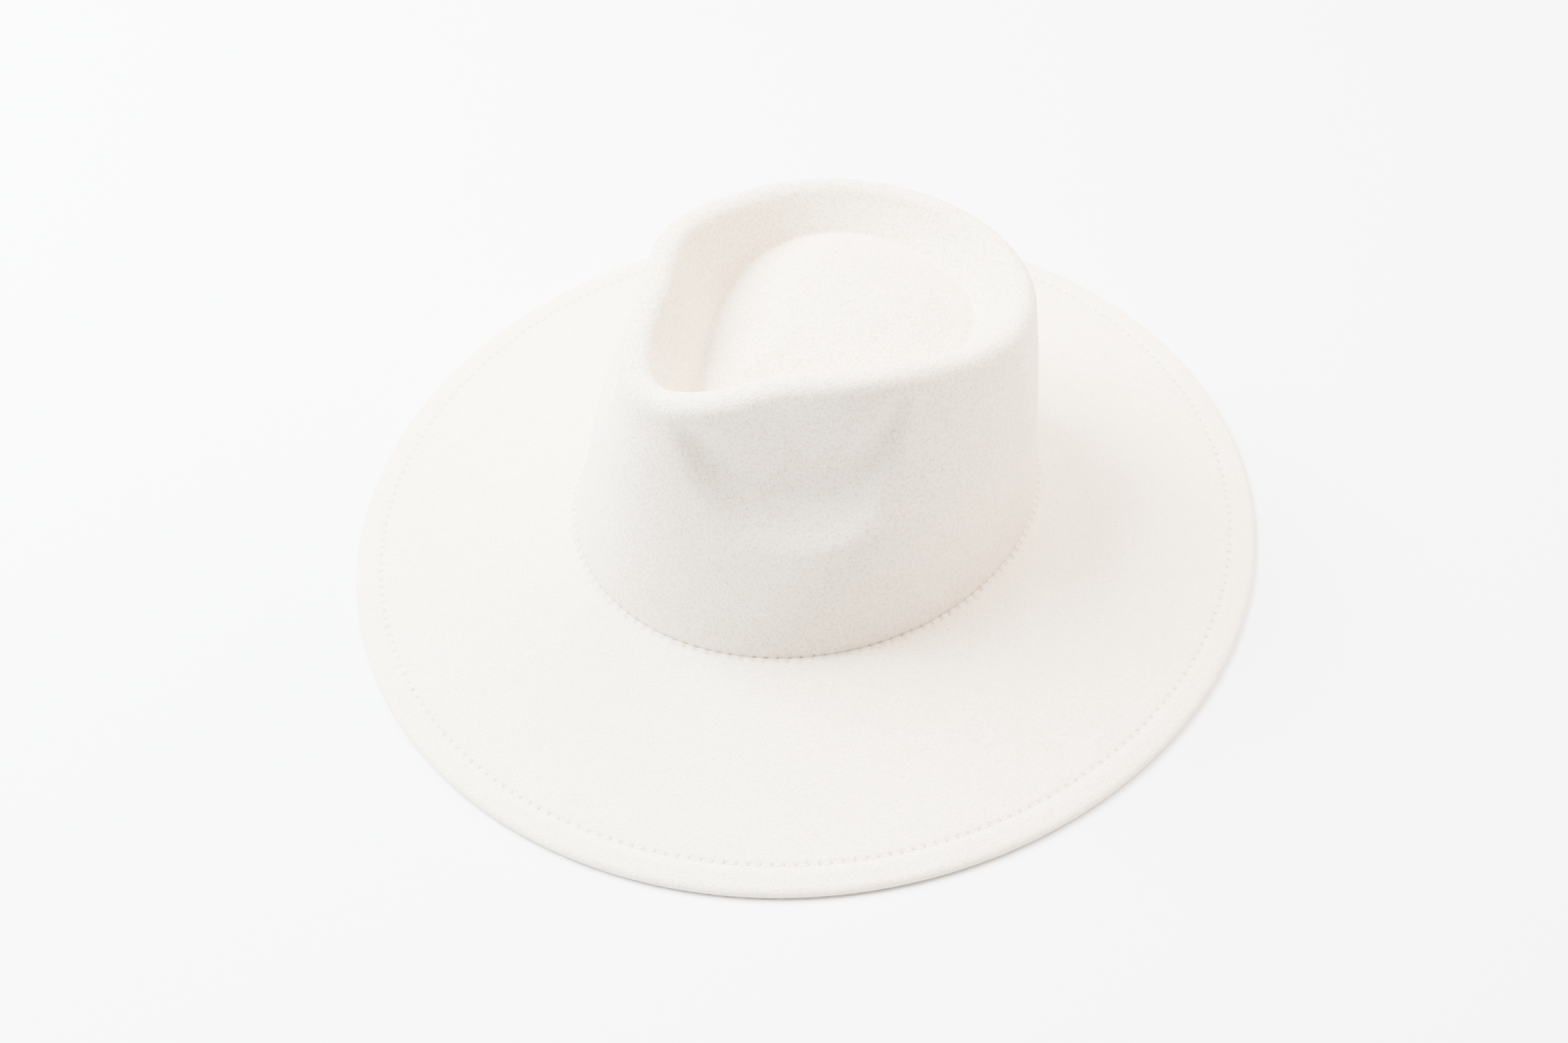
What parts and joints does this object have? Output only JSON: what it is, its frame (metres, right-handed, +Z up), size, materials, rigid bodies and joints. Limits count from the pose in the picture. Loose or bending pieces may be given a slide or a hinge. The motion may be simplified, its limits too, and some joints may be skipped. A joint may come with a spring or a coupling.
{
  "type": "rancher hat",
  "caption": "Rancher hat of ivory wool felt: a pinched teardrop crown sewn to a wide stiff brim whose edge is turned under and stitched.",
  "frame": {"origin": "on the surface that the brim rests on, under the middle of the brim", "axes": "+X to the wearer's left, +Y to the back of the hat, +Z up"},
  "size_m": [0.36, 0.384, 0.1353],
  "materials": {
    "crown_felt": "matte",
    "brim_felt": "matte"
  },
  "bodies": {
    "root": {"crown": "crown_felt", "brim": "brim_felt"}
  },
  "joints": []
}
